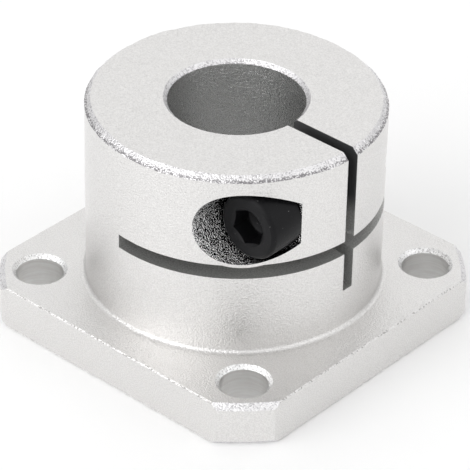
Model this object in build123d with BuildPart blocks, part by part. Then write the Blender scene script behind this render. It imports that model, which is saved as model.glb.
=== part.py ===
from build123d import *
from math import sqrt, tan, radians
import os

# Square-flanged shaft support with a split clamp hub, and its clamp screw.
# Millimetres, +Z up. The origin is on the bore's axis, on the underside of the flange.
# The split faces +X, and the clamp screw lies along Y with its head towards -Y.

# Bore and hub
bore_diameter = 20.0
bore_chamfer = 0.6
hub_diameter = 43.7
hub_chamfer = 0.8
overall_height = 36.5
root_fillet = 0.7

# Flange: a turned disc, milled square, so the disc's rim is left at the four corners
flange_width = 54.4
flange_thickness = 7.0
corner_diameter = 69.2
corner_bevel = 0.8
edge_break = 0.25
hole_pitch = 40.5
hole_diameter = 7.0
hole_chamfer = 0.6

# Clamp screw: socket head cap screw M6 x 20
thread_diameter = 6.0
screw_length = 20.0
head_diameter = 10.0
head_height = 6.0
head_chamfer = 0.65
socket_across_flats = 5.0
socket_depth = 3.0
socket_chamfer = 0.2
tip_chamfer = 0.8
drill_point_angle = 118.0
socket_turn = 21.5

# Saw cuts: a slit up through the wall, and a slot across it that frees the upper half
slit_width = 2.0
slit_depth_below_slot = 6.35
slot_width = 2.2
slot_end = -2.7
clamp_height = 14.55

# Pocket, passage and thread for the screw
pocket_diameter = 11.6
pocket_web = 0.15
lip_thickness = 0.5
lug_thickness = 7.6
bore_wall = 2.0
shank_clearance = 0.3
thread_clearance = 0.1

# Places that follow from the sizes above
bore_radius = bore_diameter / 2
hub_radius = hub_diameter / 2
corner_radius = corner_diameter / 2
slot_ceiling = overall_height - clamp_height
slot_floor = slot_ceiling - slot_width
slit_floor = slot_floor - slit_depth_below_slot
pocket_radius = pocket_diameter / 2
passage_diameter = thread_diameter + 2 * shank_clearance
tapped_diameter = thread_diameter + 2 * thread_clearance
screw_x = bore_radius + bore_wall + passage_diameter / 2
screw_z = slot_ceiling + pocket_web + pocket_radius
seat_y = -(slit_width / 2 + lug_thickness)

# Planes across the screw's axis. Their normal points to -Y, out of the pocket,
# and their local x and y are the model's X and Z.
middle_plane = Plane.XZ
seat_plane = Plane.XZ.offset(-seat_y)


def slot_outline():
    """The saw slot seen along the screw, from its closed end to the front of the hub."""
    with Locations((slot_end, slot_floor)):
        Rectangle(hub_radius - slot_end, slot_width, align=(Align.MIN, Align.MIN))


# One-piece body
with BuildPart() as flange_body:
    # Turned blank: the disc, bevelled on both edges of its rim, and the hub
    with BuildSketch(Plane.XZ):
        with BuildLine():
            Polyline(
                (bore_radius, 0),
                (corner_radius - corner_bevel, 0),
                (corner_radius, corner_bevel),
                (corner_radius, flange_thickness - corner_bevel),
                (corner_radius - corner_bevel, flange_thickness),
                (hub_radius, flange_thickness),
                (hub_radius, overall_height),
                (bore_radius, overall_height),
                close=True,
            )
        make_face()
    revolve(axis=Axis.Z)
    hub_wall = flange_body.faces().filter_by(GeomType.CYLINDER).group_by(SortBy.RADIUS)[1]
    root_edge = hub_wall.edges().filter_by(GeomType.CIRCLE).sort_by(Axis.Z)[0]
    fillet(root_edge, radius=root_fillet)
    top_face = flange_body.faces().sort_by(Axis.Z)[-1]
    rim_edges = top_face.edges().sort_by(SortBy.RADIUS)
    chamfer(rim_edges[-1], length=hub_chamfer)
    bore_edges = flange_body.faces().filter_by(GeomType.CYLINDER).sort_by(SortBy.RADIUS)[0].edges()
    chamfer(bore_edges.filter_by(GeomType.CIRCLE), length=bore_chamfer)

    # Four flats milled on the disc make it square
    with BuildSketch(Plane.XY):
        Rectangle(flange_width, flange_width)
    extrude(amount=overall_height, mode=Mode.INTERSECT)
    straight_edges = flange_body.edges().filter_by(GeomType.LINE)
    chamfer(straight_edges.filter_by(Plane.XY), length=edge_break)

    # Bolt holes, chamfered on the top face
    with Locations(Plane.XY.offset(flange_thickness)):
        with GridLocations(hole_pitch, hole_pitch, 2, 2):
            CounterSinkHole(
                radius=hole_diameter / 2,
                counter_sink_radius=hole_diameter / 2 + hole_chamfer,
                depth=flange_thickness,
                counter_sink_angle=90,
            )

    # Vertical slit through the wall that faces +X
    with BuildSketch(Plane.XY.offset(slit_floor)):
        with Locations((hub_radius / 2, 0)):
            Rectangle(hub_radius, slit_width)
    extrude(amount=overall_height - slit_floor, mode=Mode.SUBTRACT)

    # Horizontal slot, sawn from +X past the bore
    with BuildSketch(seat_plane):
        slot_outline()
    extrude(amount=seat_y - hub_radius, mode=Mode.SUBTRACT)

    # Below the pocket the slot is narrower: the thin floor there is pressed down into it
    with BuildSketch(seat_plane):
        slot_outline()
        with Locations((screw_x, screw_z)):
            Circle(pocket_radius + lip_thickness, mode=Mode.SUBTRACT)
    extrude(amount=hub_radius + seat_y, mode=Mode.SUBTRACT)

    # Pocket for the head, clearance hole to the slit, and tapped hole beyond it
    with BuildSketch(seat_plane):
        with Locations((screw_x, screw_z)):
            Circle(pocket_radius)
    extrude(amount=hub_radius + seat_y, mode=Mode.SUBTRACT)
    with BuildSketch(middle_plane):
        with Locations((screw_x, screw_z)):
            Circle(passage_diameter / 2)
    extrude(amount=-seat_y, mode=Mode.SUBTRACT)
    with BuildSketch(middle_plane):
        with Locations((screw_x, screw_z)):
            Circle(tapped_diameter / 2)
    extrude(amount=-hub_radius, mode=Mode.SUBTRACT)


# Clamp screw, turned about its own axis
screw_plane = Plane(origin=(screw_x, seat_y, screw_z), x_dir=(1, 0, 0), z_dir=(0, -1, 0))
profile_plane = Plane(origin=screw_plane.origin, x_dir=(1, 0, 0), z_dir=(0, 0, 1))
thread_radius = thread_diameter / 2
head_radius = head_diameter / 2
socket_corner = socket_across_flats / sqrt(3)
socket_point = socket_corner / tan(radians(drill_point_angle / 2))

with BuildPart() as clamp_screw:
    with BuildSketch(profile_plane):
        with BuildLine():
            Polyline(
                (0, -head_height),
                (head_radius - head_chamfer, -head_height),
                (head_radius, -head_height + head_chamfer),
                (head_radius, 0),
                (thread_radius, 0),
                (thread_radius, screw_length - tip_chamfer),
                (thread_radius - tip_chamfer, screw_length),
                (0, screw_length),
                close=True,
            )
        make_face()
    revolve(axis=Axis(screw_plane.origin, (0, 1, 0)))

    # Hexagon socket with a drilled point and a chamfered mouth
    with BuildSketch(screw_plane.offset(head_height)):
        RegularPolygon(socket_across_flats / 2, 6, major_radius=False, rotation=socket_turn)
    extrude(amount=-socket_depth, mode=Mode.SUBTRACT)
    with Locations(screw_plane.offset(head_height - socket_depth - socket_point / 2)):
        Cone(
            bottom_radius=0,
            top_radius=socket_across_flats / 2,
            height=socket_point,
            mode=Mode.SUBTRACT,
        )
    with Locations(screw_plane.offset(head_height - socket_chamfer / 2)):
        Cone(
            bottom_radius=socket_corner - socket_chamfer,
            top_radius=socket_corner,
            height=socket_chamfer,
            mode=Mode.SUBTRACT,
        )


os.makedirs("parts", exist_ok=True)

flange_body.part.label = "flange_body"
export_step(flange_body.part, "parts/flange_body.step")

clamp_screw.part.label = "clamp_screw"
export_step(clamp_screw.part, "parts/clamp_screw.step")
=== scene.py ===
from collections import namedtuple
from math import copysign, cos, hypot, radians, sin

import bmesh
import bpy
from mathutils import Matrix, Vector, noise


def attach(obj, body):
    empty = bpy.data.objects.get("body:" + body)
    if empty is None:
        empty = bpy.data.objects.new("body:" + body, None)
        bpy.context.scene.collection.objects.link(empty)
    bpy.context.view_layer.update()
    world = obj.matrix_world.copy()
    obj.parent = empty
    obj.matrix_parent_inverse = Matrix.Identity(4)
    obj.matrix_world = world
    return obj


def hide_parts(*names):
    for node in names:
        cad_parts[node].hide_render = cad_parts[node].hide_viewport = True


# The looks of a square-flanged shaft support: blasted aluminium with a black clamp screw.
# Lengths are in metres unless a name ends in _mm or a comment says millimetres.
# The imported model's frame is used as it is.

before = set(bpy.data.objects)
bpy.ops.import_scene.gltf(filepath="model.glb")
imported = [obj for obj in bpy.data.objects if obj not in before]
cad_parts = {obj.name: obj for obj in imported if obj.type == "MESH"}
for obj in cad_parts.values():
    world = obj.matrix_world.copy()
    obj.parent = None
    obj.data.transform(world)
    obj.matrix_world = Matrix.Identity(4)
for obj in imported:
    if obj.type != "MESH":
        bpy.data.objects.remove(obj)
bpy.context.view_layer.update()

MM = 0.001

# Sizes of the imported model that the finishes, the worn edges and the screw go by, in millimetres
BORE_RADIUS = 10.0
HUB_RADIUS = 21.85
HUB_TOP = 36.5
HUB_CHAMFER = 0.8
ROOT_FILLET = 0.7
FLANGE_TOP = 7.0
FLANGE_HALF = 27.2
EDGE_BREAK = 0.25
RIM_RADIUS = 34.6
RIM_BEVEL = 0.8
HOLE_PLACE = 20.25
HOLE_RADIUS = 3.5
HOLE_CHAMFER = 0.6
SLIT_HALF = 1.0
SLOT_FLOOR = 19.75
SLOT_CEILING = 21.95
SCREW_X = 15.3
SCREW_Z = 27.9
SEAT_Y = -8.6
POCKET_RADIUS = 5.8
LIP_RADIUS = 6.3
PASSAGE_RADIUS = 3.3
TAPPED_RADIUS = 3.1


# Nodes

# Where a Mix node for colours has its factor, its two colours and its result
MIX_FACTOR, MIX_LOW, MIX_HIGH = 0, 6, 7
MIX_RESULT = 2
BEVEL_SAMPLES = 4


class Shader:
    """A material's node tree, with short calls for the nodes that the materials here need."""

    def __init__(self, name):
        self.material = bpy.data.materials.new(name)
        self.material.use_nodes = True
        self.nodes = self.material.node_tree.nodes
        self.links = self.material.node_tree.links
        self.nodes.clear()
        self.output = self.nodes.new("ShaderNodeOutputMaterial")

    def feed(self, socket, value):
        """Links value to the socket if it is an output, and otherwise sets it."""
        if isinstance(value, bpy.types.NodeSocket):
            self.links.new(value, socket)
        else:
            socket.default_value = value

    def math(self, operation, *values):
        node = self.nodes.new("ShaderNodeMath")
        node.operation = operation
        for socket, value in zip(node.inputs, values):
            self.feed(socket, value)
        return node.outputs[0]

    def plus(self, value, other, share):
        """The value with a share of the other one added."""
        return self.math("MULTIPLY_ADD", other, share, value)

    def place_mm(self):
        """The point's place in the model's frame, in millimetres."""
        coordinates = self.nodes.new("ShaderNodeTexCoord")
        scale = self.nodes.new("ShaderNodeVectorMath")
        scale.operation = "SCALE"
        scale.inputs["Scale"].default_value = 1 / MM
        self.links.new(coordinates.outputs["Object"], scale.inputs[0])
        return scale.outputs[0]

    def axes(self, vector):
        split = self.nodes.new("ShaderNodeSeparateXYZ")
        self.links.new(vector, split.inputs[0])
        return split.outputs

    def length(self, *parts):
        """The length of the vector with these two or three parts."""
        join = self.nodes.new("ShaderNodeCombineXYZ")
        for socket, part in zip(join.inputs, parts):
            self.feed(socket, part)
        size = self.nodes.new("ShaderNodeVectorMath")
        size.operation = "LENGTH"
        self.links.new(join.outputs[0], size.inputs[0])
        return size.outputs["Value"]

    def noise(self, place, size_mm, detail=1, roughness=0.5, stretch=(1, 1, 1)):
        """Noise from 0 to 1, with features of about size_mm."""
        mapping = self.nodes.new("ShaderNodeMapping")
        mapping.inputs["Scale"].default_value = [part / size_mm for part in stretch]
        self.links.new(place, mapping.inputs["Vector"])
        node = self.nodes.new("ShaderNodeTexNoise")
        node.inputs["Scale"].default_value = 1
        node.inputs["Detail"].default_value = detail
        node.inputs["Roughness"].default_value = roughness
        self.links.new(mapping.outputs[0], node.inputs["Vector"])
        return node.outputs["Fac"]

    def step(self, value, start, end, low=0, high=1):
        """Goes smoothly from low to high while value goes from start to end."""
        node = self.nodes.new("ShaderNodeMapRange")
        node.interpolation_type = "SMOOTHSTEP"
        for socket, number in zip(node.inputs, (value, start, end, low, high)):
            self.feed(socket, number)
        return node.outputs[0]

    def colour(self, factor, low, high):
        """Mixes two colours, each a triple or an output."""
        node = self.nodes.new("ShaderNodeMix")
        node.data_type = "RGBA"
        self.feed(node.inputs[MIX_FACTOR], factor)
        for number, value in ((MIX_LOW, low), (MIX_HIGH, high)):
            is_output = isinstance(value, bpy.types.NodeSocket)
            self.feed(node.inputs[number], value if is_output else (*value, 1))
        return node.outputs[MIX_RESULT]

    def rounded(self, radius_mm):
        """A normal that turns softly over the edges, as on edges rounded by blasting."""
        node = self.nodes.new("ShaderNodeBevel")
        node.samples = BEVEL_SAMPLES
        node.inputs["Radius"].default_value = radius_mm * MM
        return node.outputs[0]

    def bump(self, height, distance_mm, strength=1, normal=None):
        node = self.nodes.new("ShaderNodeBump")
        node.inputs["Distance"].default_value = distance_mm * MM
        node.inputs["Strength"].default_value = strength
        self.links.new(height, node.inputs["Height"])
        if normal is not None:
            self.links.new(normal, node.inputs["Normal"])
        return node.outputs[0]

    def principled(self, **values):
        """Ends the material with a Principled shader, whose sockets take these values."""
        node = self.nodes.new("ShaderNodeBsdfPrincipled")
        for name, value in values.items():
            self.feed(node.inputs[name.replace("_", " ")], value)
        self.links.new(node.outputs[0], self.output.inputs[0])
        return self.material

    def metal(self, colour, roughness, normal):
        return self.principled(
            Base_Color=colour, Metallic=1, Roughness=roughness, Normal=normal
        )


# Materials

TURNED = (0.1, 0.1, 1.6)    # stretches noise into the rings that a drill or a boring bar leaves
SAWN = (0.25, 1, 0.6)       # stretches noise into saw marks


def blasted():
    """Bead-blasted aluminium: pale, satin, with fine pits that break up what it reflects."""
    shader = Shader("blasted_aluminium")
    place = shader.place_mm()
    grain = shader.noise(place, size_mm=0.26)
    tint = shader.noise(place, size_mm=0.2, detail=2, roughness=0.7)
    colour = shader.colour(shader.step(tint, 0.3, 0.7), (0.71, 0.70, 0.69), (0.85, 0.84, 0.83))
    normal = shader.bump(shader.plus(grain, tint, 0.3), distance_mm=0.11)
    return shader.metal(colour, 0.32, normal)


def edge():
    """The turned chamfers: picked out by the blasting, with bright and dark specks."""
    shader = Shader("worn_edge")
    place = shader.place_mm()
    _, _, z = shader.axes(place)
    grain = shader.noise(place, size_mm=0.24)
    knocks = shader.noise(place, size_mm=0.9, detail=2)
    pick = shader.plus(shader.math("MULTIPLY", grain, 0.75), knocks, 0.25)
    # The lower half of the hub's chamfer is the darkest
    under_rim = shader.step(z, HUB_TOP - 0.35, HUB_TOP - 0.75)
    on_hub = shader.step(z, FLANGE_TOP, HUB_TOP - 1.5)
    low = shader.math("MULTIPLY", under_rim, on_hub)
    dull = shader.colour(low, (0.58, 0.57, 0.58), (0.30, 0.29, 0.30))
    picked = shader.step(shader.plus(pick, low, -0.09), 0.37, 0.52)
    colour = shader.colour(picked, dull, (0.90, 0.89, 0.90))
    normal = shader.bump(grain, distance_mm=0.14, normal=shader.rounded(0.08))
    return shader.metal(colour, 0.32, normal)


def burr():
    """The flange's long edges: a hair-thin break with dark and bright specks."""
    shader = Shader("fine_burr")
    place = shader.place_mm()
    grain = shader.noise(place, size_mm=0.3)
    runs = shader.noise(place, size_mm=1.6, detail=2)
    pick = shader.plus(shader.math("MULTIPLY", grain, 0.6), runs, 0.4)
    colour = shader.colour(shader.step(pick, 0.40, 0.50), (0.46, 0.45, 0.44), (0.80, 0.79, 0.78))
    return shader.metal(colour, 0.36, shader.bump(grain, distance_mm=0.12))


def bored():
    """The bore and the screw's passages: turned and then blasted, with bright specks."""
    shader = Shader("bored_wall")
    place = shader.place_mm()
    grain = shader.noise(place, size_mm=0.26)
    rings = shader.noise(place, size_mm=0.5, stretch=TURNED)
    specks = shader.noise(place, size_mm=0.32, detail=2, roughness=0.6)
    colour = shader.colour(shader.step(specks, 0.42, 0.62), (0.93, 0.93, 0.92), (1, 1, 1))
    normal = shader.bump(shader.plus(grain, rings, 0.3), distance_mm=0.1)
    return shader.metal(colour, 0.26, normal)


def drilled():
    """The bolt holes: smooth and bright."""
    shader = Shader("drilled_wall")
    place = shader.place_mm()
    grain = shader.noise(place, size_mm=0.3)
    rings = shader.noise(place, size_mm=0.5, stretch=TURNED)
    colour = shader.colour(shader.step(rings, 0.3, 0.7), (0.93, 0.92, 0.91), (1, 1, 0.99))
    normal = shader.bump(shader.plus(grain, rings, 0.5), distance_mm=0.04)
    return shader.metal(colour, 0.36, normal)


def countersunk():
    """The bolt holes' chamfers: bright, with sparkling specks."""
    shader = Shader("countersink")
    place = shader.place_mm()
    grain = shader.noise(place, size_mm=0.26)
    colour = shader.colour(shader.step(grain, 0.36, 0.5), (0.66, 0.65, 0.65), (0.98, 0.98, 0.98))
    normal = shader.bump(grain, distance_mm=0.14, normal=shader.rounded(0.1))
    return shader.metal(colour, 0.3, normal)


def sawn():
    """The slit's and the slot's walls: saw marks, hardly reached by the blasting, with painted
    shade high in the slit.
    """
    shader = Shader("sawn_wall")
    place = shader.place_mm()
    _, _, z = shader.axes(place)
    grain = shader.noise(place, size_mm=0.25, detail=2, roughness=0.7)
    marks = shader.noise(place, size_mm=0.35, stretch=SAWN)
    bare_wall = shader.colour(shader.step(grain, 0.3, 0.7), (0.56, 0.56, 0.55), (0.80, 0.80, 0.79))
    # Painted shade: the slit's walls are painted near black from the screw's height upwards, for
    # the shade inside the narrow slit
    slit_painted_shade = shader.step(z, SCREW_Z - 3, SCREW_Z + 1)
    colour = shader.colour(slit_painted_shade, bare_wall, (0.22, 0.22, 0.225))
    relief = shader.math("ADD", grain, marks)
    normal = shader.bump(relief, distance_mm=0.03, normal=shader.rounded(0.1))
    return shader.metal(colour, 0.5, normal)


def milled():
    """The screw's pocket: pitted, with bright and dark specks, and with painted shade that darkens
    it towards the seat.
    """
    shader = Shader("milled_pocket")
    place = shader.place_mm()
    x, y, _ = shader.axes(place)
    grain = shader.noise(place, size_mm=0.22)
    rim = shader.step(shader.length(x, y), HUB_RADIUS - 1.2, HUB_RADIUS)
    # Painted shade: the pocket's specks turn dark towards the seat, deep in the recess
    seat_painted_shade = shader.step(y, SEAT_Y - 6.5, SEAT_Y - 1.5)
    pick = shader.plus(shader.plus(grain, rim, 0.07), seat_painted_shade, -0.12)
    colour = shader.colour(shader.step(pick, 0.46, 0.49), (0.01, 0.01, 0.01), (1, 1, 1))
    return shader.metal(colour, 0.26, shader.bump(grain, distance_mm=0.3))


def black_oxide():
    """Oiled black-oxide steel: near black, smooth on the turned faces, with a little dust."""
    shader = Shader("black_oxide_steel")
    place = shader.place_mm()
    grain = shader.noise(place, size_mm=0.3, detail=3, roughness=0.6)
    dust = shader.noise(place, size_mm=0.4, detail=3, roughness=0.7)
    oxide = shader.colour(grain, (0.004, 0.004, 0.005), (0.012, 0.012, 0.013))
    return shader.principled(
        Base_Color=shader.colour(shader.step(dust, 0.69, 0.76), oxide, (0.22, 0.22, 0.22)),
        Metallic=0.2,
        Roughness=shader.step(grain, 0.3, 0.7, low=0.3, high=0.5),
        Specular_IOR_Level=0.18,
        Normal=shader.bump(grain, distance_mm=0.02, strength=0.4, normal=shader.rounded(0.08)),
    )


FINISH_MAKERS = [blasted, edge, burr, bored, drilled, countersunk, sawn, milled]
FINISHES = {make.__name__: make() for make in FINISH_MAKERS}
FINISH_NUMBER = {name: number for number, name in enumerate(FINISHES)}


# The body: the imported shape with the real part's worn edges, in millimetres until it is done

TOUCH = 0.02        # how far from a surface a point still counts as on it
WALL_SAG = 0.1      # how far inside the hub's wall the middle of one of its flat faces may lie
WELD = 0.001        # points nearer than this are one
FLAT_ANGLE = radians(0.05)

# Parts of a unit normal
SQUARE_ON = 0.99        # along an axis
OUTWARD = 0.97          # away from the hub's axis
UPRIGHT = 0.3           # a face whose z part is below this stands up
LEVEL = 0.95            # a face whose z part is above this lies flat, and between them it slants


def hub_edge(place):
    return (
        place.z > HUB_TOP - HUB_CHAMFER - TOUCH
        and place.xy.length > HUB_RADIUS - HUB_CHAMFER - TOUCH
    )


def flange_edge(place):
    return FLANGE_TOP - RIM_BEVEL - TOUCH < place.z < FLANGE_TOP + TOUCH


def near_rim(place):
    return place.xy.length > RIM_RADIUS - RIM_BEVEL - TOUCH


def from_hole(place):
    """How far from the axis of the nearest bolt hole a place is."""
    return hypot(abs(place.x) - HOLE_PLACE, abs(place.y) - HOLE_PLACE)


def is_sawn(place, normal):
    """Whether a face is the slit's wall or floor, or the slot's floor, ceiling or closed end."""
    if not FLANGE_TOP + ROOT_FILLET + TOUCH < place.z < HUB_TOP - TOUCH:
        return False
    slit_wall = abs(normal.y) > SQUARE_ON and abs(abs(place.y) - SLIT_HALF) < TOUCH
    slot_end = abs(normal.x) > SQUARE_ON and place.x < 0 and SLOT_FLOOR < place.z < SLOT_CEILING
    return slit_wall or abs(normal.z) > SQUARE_ON or slot_end


def finish_of(face):
    """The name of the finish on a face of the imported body."""
    place, normal = face.calc_center_median(), face.normal
    x, y, z = place
    out = place.xy.length
    stands = abs(normal.z) < UPRIGHT
    slants = UPRIGHT < abs(normal.z) < LEVEL
    if abs(out - HUB_RADIUS) < WALL_SAG and normal.dot(Vector((x, y, 0)).normalized()) > OUTWARD:
        return "blasted"
    if hypot(x - SCREW_X, z - SCREW_Z) < POCKET_RADIUS + TOUCH and abs(y) > SLIT_HALF + TOUCH:
        return "milled" if y < SEAT_Y + TOUCH else "bored"
    if is_sawn(place, normal):
        return "sawn"
    if stands and out < BORE_RADIUS + TOUCH:
        return "bored"
    if stands and from_hole(place) < HOLE_RADIUS + TOUCH:
        return "drilled"
    if slants and from_hole(place) < HOLE_RADIUS + HOLE_CHAMFER:
        return "countersunk"
    on_root = FLANGE_TOP < z < FLANGE_TOP + ROOT_FILLET and out < HUB_RADIUS + ROOT_FILLET
    if slants and not on_root:
        straight = z < FLANGE_TOP and min(abs(normal.x), abs(normal.y)) < TOUCH
        return "burr" if straight else "edge"
    return "blasted"


def is_worn(face):
    """The edges that the photo shows knocked and uneven: round the hub's top and the flange's."""
    if face.material_index not in (FINISH_NUMBER["edge"], FINISH_NUMBER["burr"]):
        return False
    place = face.calc_center_median()
    near_side = max(abs(place.x), abs(place.y)) > FLANGE_HALF - EDGE_BREAK - TOUCH
    return hub_edge(place) or flange_edge(place) and (near_side or near_rim(place))


EDGE_STEP = 0.3     # the longest side of a triangle on a worn edge
SPLIT_ROUNDS = 8


def split_edges(body):
    """Cuts the worn edges' faces into small triangles. Their neighbours only gain points."""
    for _ in range(SPLIT_ROUNDS):
        worn = [face for face in body.faces if is_worn(face)]
        sides = {side for face in worn for side in face.edges}
        long_sides = [side for side in sides if side.calc_length() > EDGE_STEP]
        if not long_sides:
            break
        long_sides.sort(key=lambda side: tuple(side.verts[0].co) + tuple(side.verts[1].co))
        for side in long_sides:
            bmesh.utils.edge_split(side, side.verts[0], 0.5)
        bmesh.ops.triangulate(body, faces=[face for face in worn if len(face.verts) > 3])


# How an edge is worn: its width and top, how far its two lines wander coarsely and finely, how
# uneven the face between them is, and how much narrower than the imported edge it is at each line
Wear = namedtuple("Wear", "width top coarse fine rough narrower")
HUB_WEAR = Wear(HUB_CHAMFER, HUB_TOP, coarse=0.14, fine=0.09, rough=0.06, narrower=0)
RIM_WEAR = Wear(RIM_BEVEL, FLANGE_TOP, coarse=0.05, fine=0.05, rough=0.04, narrower=0)
SIDE_WEAR = Wear(EDGE_BREAK, FLANGE_TOP, coarse=0.05, fine=0.06, rough=0.03, narrower=0.11)

# Size in millimetres and seed of the noise that moves the upper line back, the lower line down,
# and the face between them in and out
BACK_COARSE, BACK_FINE = (2.2, 1), (0.55, 2)
DOWN_COARSE, DOWN_FINE = (1.9, 3), (0.5, 4)
DENTS = (0.45, 5)


def wander(place, size, seed):
    """Smooth noise from -1 to 1 with features of about size millimetres."""
    return noise.noise(place / size + Vector((seed, 2 * seed, 3 * seed)))


def within(value, low, high):
    return min(max(value, low), high)


def worn_place(place):
    """Where a point of a broken edge goes: both lines of the edge wander, its face is uneven."""
    x, y, z = place
    on_rim = near_rim(place) and min(abs(x), abs(y)) < FLANGE_HALF - EDGE_BREAK - TOUCH
    if hub_edge(place):
        wear, inward = HUB_WEAR, Vector((-x, -y, 0)).normalized()
    elif on_rim:
        wear, inward = RIM_WEAR, Vector((-x, -y, 0)).normalized()
    elif abs(x) > abs(y):
        wear, inward = SIDE_WEAR, Vector((-x / abs(x), 0, 0))
    else:
        wear, inward = SIDE_WEAR, Vector((0, -y / abs(y), 0))

    def line(coarse, fine):
        """How far one of the edge's two lines is from its packed place."""
        return (
            wear.coarse * (0.5 + wander(place, *coarse))
            + wear.fine * (0.5 + wander(place, *fine))
            - wear.narrower
        )

    share = within((wear.top - z) / wear.width, 0, 1)
    dent = wear.rough * 4 * share * (1 - share) * wander(place, *DENTS)
    back = line(BACK_COARSE, BACK_FINE) * (1 - share) + dent
    down = line(DOWN_COARSE, DOWN_FINE) * share + dent
    moved = place + inward * back + Vector((0, 0, -1)) * down
    return Vector((
        within(moved.x, -FLANGE_HALF, FLANGE_HALF),
        within(moved.y, -FLANGE_HALF, FLANGE_HALF),
        min(moved.z, wear.top),
    ))


# Round walls: the axis that each lies along, where that axis is on the other two, the radius,
# and 1 for a wall that faces away from its axis or -1 for one that faces it
HOLE_CENTRES = [(x, y) for x in (-HOLE_PLACE, HOLE_PLACE) for y in (-HOLE_PLACE, HOLE_PLACE)]
CYLINDERS = [
    ("Z", (0, 0), HUB_RADIUS, 1),
    ("Z", (0, 0), BORE_RADIUS, -1),
    ("Z", (0, 0), RIM_RADIUS, 1),
    *[("Z", centre, HOLE_RADIUS, -1) for centre in HOLE_CENTRES],
    ("Y", (SCREW_X, SCREW_Z), POCKET_RADIUS, -1),
    ("Y", (SCREW_X, SCREW_Z), LIP_RADIUS, 1),
    ("Y", (SCREW_X, SCREW_Z), PASSAGE_RADIUS, -1),
    ("Y", (SCREW_X, SCREW_Z), TAPPED_RADIUS, -1),
]
ACROSS = 0.5                # a round wall's normal has less than this along its axis
CONE_SLANT = (0.05, 0.95)   # a cone's normal has a part between these across its axis
TOP_FACE = 0.999            # a normal's z part on the flange's top face


def cylinder_normals(face, places):
    for along, (u, v), radius, sign in CYLINDERS:
        if abs(face.normal.z if along == "Z" else face.normal.y) > ACROSS:
            continue
        spokes = [
            Vector((place.x - u, place.y - v, 0) if along == "Z" else (place.x - u, 0, place.z - v))
            for place in places
        ]
        if max(abs(spoke.length - radius) for spoke in spokes) < TOUCH:
            return [spoke.normalized() * sign for spoke in spokes]
    return None


def root_normals(places):
    """Normals of the fillet at the hub's foot, which point to the circle of its centres."""
    radius, height = HUB_RADIUS + ROOT_FILLET, FLANGE_TOP + ROOT_FILLET
    return [
        (Vector((*(place.xy.normalized() * radius), height)) - place).normalized()
        for place in places
    ]


def cone_normals(face, places):
    """Normals of a chamfer round the hub, the bore, the rim or a bolt hole."""
    normal = face.normal
    middle = face.calc_center_median()
    flat = Vector((normal.x, normal.y, 0))
    if not CONE_SLANT[0] < flat.length < CONE_SLANT[1]:
        return None
    u, v = 0, 0
    if from_hole(middle) < HOLE_RADIUS + 1:
        u, v = copysign(HOLE_PLACE, middle.x), copysign(HOLE_PLACE, middle.y)
    found = []
    for place in places:
        spoke = Vector((place.x - u, place.y - v, 0)).normalized()
        if flat.dot(spoke) < 0:
            spoke = -spoke
        found.append((spoke * flat.length + Vector((0, 0, normal.z))).normalized())
    return found


def turned_normals(face):
    """The true normals of a turned or drilled face at its corners, or None for a flat one."""
    places = [vert.co for vert in face.verts]
    found = cylinder_normals(face, places)
    if found:
        return found
    middle = face.calc_center_median()
    by_root = FLANGE_TOP - TOUCH < middle.z < FLANGE_TOP + ROOT_FILLET
    if by_root and HUB_RADIUS - TOUCH < middle.xy.length < HUB_RADIUS + ROOT_FILLET:
        return None if face.normal.z > TOP_FACE else root_normals(places)
    return cone_normals(face, places)


def worn_normal(vert, worn):
    """The mean normal of the worn faces round a point, larger faces counting for more."""
    around = [face for face in vert.link_faces if face in worn]
    return sum((face.normal * face.calc_area() for face in around), Vector()).normalized()


def make_piece(name, body, materials):
    """Turns a bmesh in millimetres into an object in metres."""
    bmesh.ops.scale(body, vec=(MM,) * 3, verts=body.verts)
    mesh = bpy.data.meshes.new(name)
    body.to_mesh(mesh)
    body.free()
    for material in materials:
        mesh.materials.append(material)
    piece = bpy.data.objects.new(name, mesh)
    bpy.context.scene.collection.objects.link(piece)
    return piece


def worn_body():
    body = bmesh.new()
    body.from_mesh(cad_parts["flange_body"].data)
    bmesh.ops.scale(body, vec=(1 / MM,) * 3, verts=body.verts)
    bmesh.ops.remove_doubles(body, verts=body.verts, dist=WELD)
    bmesh.ops.dissolve_limit(
        body, angle_limit=FLAT_ANGLE, verts=body.verts, edges=body.edges, delimit={"NORMAL"}
    )
    body.normal_update()
    for face in body.faces:
        face.material_index = FINISH_NUMBER[finish_of(face)]
        face.smooth = True
    split_edges(body)

    # The other faces' normals are found before their neighbours' points move
    worn = {face for face in body.faces if is_worn(face)}
    normals = {face: turned_normals(face) for face in body.faces if face not in worn}
    for vert in {vert for face in worn for vert in face.verts}:
        vert.co = worn_place(vert.co)
    body.normal_update()
    corner_normals = []
    for face in body.faces:
        if face in worn:
            corner_normals += [worn_normal(vert, worn) for vert in face.verts]
        else:
            corner_normals += normals[face] or [face.normal.copy()] * len(face.verts)

    piece = make_piece("worn_body", body, FINISHES.values())
    piece.data.normals_split_custom_set(corner_normals)
    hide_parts("flange_body")
    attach(piece, "flange_body")


worn_body()


# The clamp screw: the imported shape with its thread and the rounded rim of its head, in
# millimetres until it is done. A place along the screw counts from the head's seat to the tip.

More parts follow.
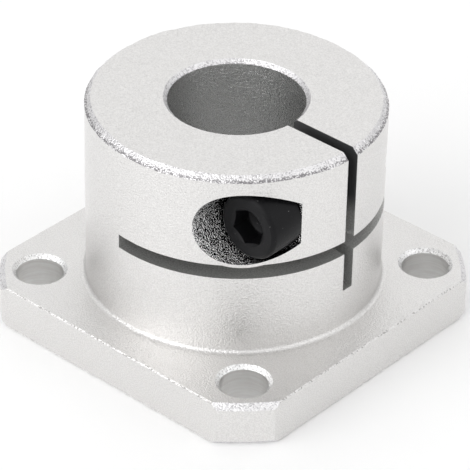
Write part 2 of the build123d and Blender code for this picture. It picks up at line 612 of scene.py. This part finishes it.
SCREW_SIDES = 96
SOCKET_TURN = 21.5      # degrees from +X to one of the hexagon's corners
SOCKET_HALF = 2.5       # half of the width across the socket's flats
SOCKET_MOUTH = 2.95
SOCKET_FLOOR = -3.0
MOUTH_SLOPE = 0.6       # how steep the chamfer of the socket's mouth is
DRILL_RADIUS = 2.4
DRILL_POINT = -1.56
HEAD_TOP = -6.0
HEAD_RIM = [(4.42, -6.0), (4.75, -5.8), (4.93, -5.55), (5.0, -5.35), (5.0, -0.25), (4.7, 0.0)]
THREAD_RADIUS = 3.0
THREAD_ROOT = 2.387
THREAD_PITCH = 1.0
THREAD_START = 2.0
THREAD_FADE = 1.0       # over this length the thread reaches its full depth
CREST_END = 1 / 16      # shares of the pitch, from the middle of the crest
ROOT_START = 3 / 8
SCREW_TIP = 20.0
TIP_RADIUS = 2.2
ROWS_PER_PITCH = 14
SHARP_ANGLE = radians(30)
TURNS = [number * 360 / SCREW_SIDES for number in range(SCREW_SIDES)]


def socket_radius(turn):
    """How far the hexagon's side is from the axis at this turn from one of its corners."""
    return SOCKET_HALF / cos(radians(turn % 60 - 30))


def thread_radius(along, turn):
    """The shank's radius: a right-handed thread that fades in and is chamfered at the tip."""
    off_crest = abs((along / THREAD_PITCH + turn / 360) % 1 - 0.5)
    depth = within((off_crest - CREST_END) / (ROOT_START - CREST_END), 0, 1)
    depth *= (THREAD_RADIUS - THREAD_ROOT) * within((along - THREAD_START) / THREAD_FADE, 0, 1)
    return min(THREAD_RADIUS - depth, TIP_RADIUS + SCREW_TIP - along)


def screw_rings():
    """The rings from the socket's floor round the head to the tip, as (along, radius) lists."""
    socket = [socket_radius(turn) for turn in TURNS]
    rings = [
        [(SOCKET_FLOOR, DRILL_RADIUS)] * SCREW_SIDES,
        [(SOCKET_FLOOR, radius) for radius in socket],
        [(HEAD_TOP + MOUTH_SLOPE * (SOCKET_MOUTH - radius), radius) for radius in socket],
        [(HEAD_TOP, SOCKET_MOUTH)] * SCREW_SIDES,
    ]
    rings += [[(along, radius)] * SCREW_SIDES for radius, along in HEAD_RIM]
    rings.append([(0, THREAD_RADIUS)] * SCREW_SIDES)
    for row in range(round((SCREW_TIP - THREAD_START) * ROWS_PER_PITCH / THREAD_PITCH) + 1):
        along = THREAD_START + row * THREAD_PITCH / ROWS_PER_PITCH
        rings.append([(along, thread_radius(along, turn)) for turn in TURNS])
    return rings


def threaded_screw():
    screw = bmesh.new()

    def point(along, radius, turn):
        angle = radians(SOCKET_TURN + turn)
        place = SCREW_X + radius * cos(angle), SEAT_Y + along, SCREW_Z + radius * sin(angle)
        return screw.verts.new(place)

    rings = [
        [point(along, radius, turn) for (along, radius), turn in zip(ring, TURNS)]
        for ring in screw_rings()
    ]
    socket_point, tip_point = point(DRILL_POINT, 0, 0), point(SCREW_TIP, 0, 0)
    for number in range(SCREW_SIDES):
        after = (number + 1) % SCREW_SIDES
        screw.faces.new((socket_point, rings[0][number], rings[0][after]))
        screw.faces.new((tip_point, rings[-1][after], rings[-1][number]))
        for ring, following in zip(rings, rings[1:]):
            screw.faces.new((ring[number], following[number], following[after], ring[after]))
    bmesh.ops.recalc_face_normals(screw, faces=screw.faces)
    for face in screw.faces:
        face.smooth = True

    piece = make_piece("threaded_screw", screw, [black_oxide()])
    piece.data.set_sharp_from_angle(angle=SHARP_ANGLE)
    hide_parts("clamp_screw")
    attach(piece, "clamp_screw")


threaded_screw()


# Camera: the photograph's view, a long lens from the front right corner

PHOTO_SIDE_PX = 470
SENSOR_MM = 36.0
VIEW_AZIMUTH = radians(41.27)
VIEW_ELEVATION = radians(33.84)
VIEW_ROLL = radians(1.22)
FOCAL_LENGTH_PX = 3117.3
VIEW_DISTANCE = 0.4549
VIEW_TARGET = Vector((0.00255, -0.00266, 0.0150))
NEAREST = 0.01


def direction_at(azimuth, elevation):
    """The direction at these angles, where azimuth 0 is -Y and 90 degrees is +X."""
    return Vector((
        sin(azimuth) * cos(elevation), -cos(azimuth) * cos(elevation), sin(elevation)
    ))


def aim_camera():
    toward = direction_at(VIEW_AZIMUTH, VIEW_ELEVATION)
    right = Vector((cos(VIEW_AZIMUTH), sin(VIEW_AZIMUTH), 0))
    up = toward.cross(right)
    rolled_right = right * cos(VIEW_ROLL) + up * sin(VIEW_ROLL)
    rolled_up = up * cos(VIEW_ROLL) - right * sin(VIEW_ROLL)
    turn = Matrix((rolled_right, rolled_up, toward)).transposed().to_4x4()
    camera = bpy.data.objects.new("camera", bpy.data.cameras.new("camera"))
    bpy.context.scene.collection.objects.link(camera)
    camera.matrix_world = Matrix.Translation(VIEW_TARGET + toward * VIEW_DISTANCE) @ turn
    camera.data.sensor_width = SENSOR_MM
    camera.data.lens = SENSOR_MM * FOCAL_LENGTH_PX / PHOTO_SIDE_PX
    camera.data.clip_start = NEAREST
    bpy.context.scene.camera = camera


aim_camera()


# Floor and light

FLOOR_RADIUS = 1.5
FLOOR_SIDES = 128
FLOOR_GREY = (0.88, 0.88, 0.88)
FLOOR_LIFT = 0.01
WHITE = (1, 1, 1)

SOFTBOX_PLACE = Vector((-0.11, -0.68, 0.4))
SOFTBOX_SIDE = 0.7
SOFTBOX_POWER = 1.5
SOFTBOX_TARGET = Vector((0, 0, 0.015))

# The sky's even strength, and its soft brighter parts: the angle round from the camera, the
# elevation and the reach in degrees, and the strength
SKY_STRENGTH = 0.2
SKY_LOBES = [
    (50, 30, 60, 0.73),
    (-50, 30, 60, 1.0),
    (95, 30, 60, 0.41),
    (-95, 30, 60, 0.28),
    (180, 35, 60, 0.85),
]


def add_floor():
    """A pale floor. The camera and the metal see it white, and it keeps the object's shadow."""
    shader = Shader("floor")
    ray = shader.nodes.new("ShaderNodeLightPath").outputs
    seen = shader.math("MAXIMUM", ray["Is Camera Ray"], ray["Is Glossy Ray"])
    seen = shader.math("MAXIMUM", seen, ray["Is Transmission Ray"])
    shader.principled(
        Base_Color=shader.colour(seen, FLOOR_GREY, WHITE),
        Roughness=0.9,
        Emission_Color=(*WHITE, 1),
        Emission_Strength=shader.math("MULTIPLY", seen, FLOOR_LIFT),
    )
    bpy.ops.mesh.primitive_circle_add(
        vertices=FLOOR_SIDES, radius=FLOOR_RADIUS, fill_type="NGON"
    )
    floor = bpy.context.object
    floor.name = "floor"
    floor.data.materials.append(shader.material)


def add_softbox():
    light = bpy.data.lights.new("softbox_key", "AREA")
    light.shape = "RECTANGLE"
    light.size = light.size_y = SOFTBOX_SIDE
    light.energy = SOFTBOX_POWER
    lamp = bpy.data.objects.new("softbox_key", light)
    bpy.context.scene.collection.objects.link(lamp)
    lamp.location = SOFTBOX_PLACE
    lamp.rotation_euler = (SOFTBOX_PLACE - SOFTBOX_TARGET).to_track_quat("Z", "Y").to_euler()


def add_sky():
    """A plain pale sky that is softly brighter round the camera's sides and behind the object."""
    world = bpy.data.worlds.new("studio")
    bpy.context.scene.world = world
    world.use_nodes = True
    nodes, links = world.node_tree.nodes, world.node_tree.links
    direction = nodes.new("ShaderNodeTexCoord").outputs["Generated"]
    total = None
    for azimuth, elevation, reach, strength in SKY_LOBES:
        near = nodes.new("ShaderNodeVectorMath")
        near.operation = "DOT_PRODUCT"
        near.inputs[1].default_value = direction_at(
            VIEW_AZIMUTH + radians(azimuth), radians(elevation)
        )
        links.new(direction, near.inputs[0])
        soft = nodes.new("ShaderNodeMapRange")
        soft.interpolation_type = "SMOOTHSTEP"
        soft.inputs["From Min"].default_value = cos(radians(reach))
        soft.inputs["To Max"].default_value = strength
        links.new(near.outputs["Value"], soft.inputs["Value"])
        add = nodes.new("ShaderNodeMath")
        if total is None:
            add.inputs[0].default_value = SKY_STRENGTH
        else:
            links.new(total, add.inputs[0])
        links.new(soft.outputs[0], add.inputs[1])
        total = add.outputs[0]
    background = nodes["Background"]
    background.inputs["Color"].default_value = (*WHITE, 1)
    links.new(total, background.inputs["Strength"])


add_floor()
add_sky()
add_softbox()

bpy.context.scene.view_settings.view_transform = "Standard"
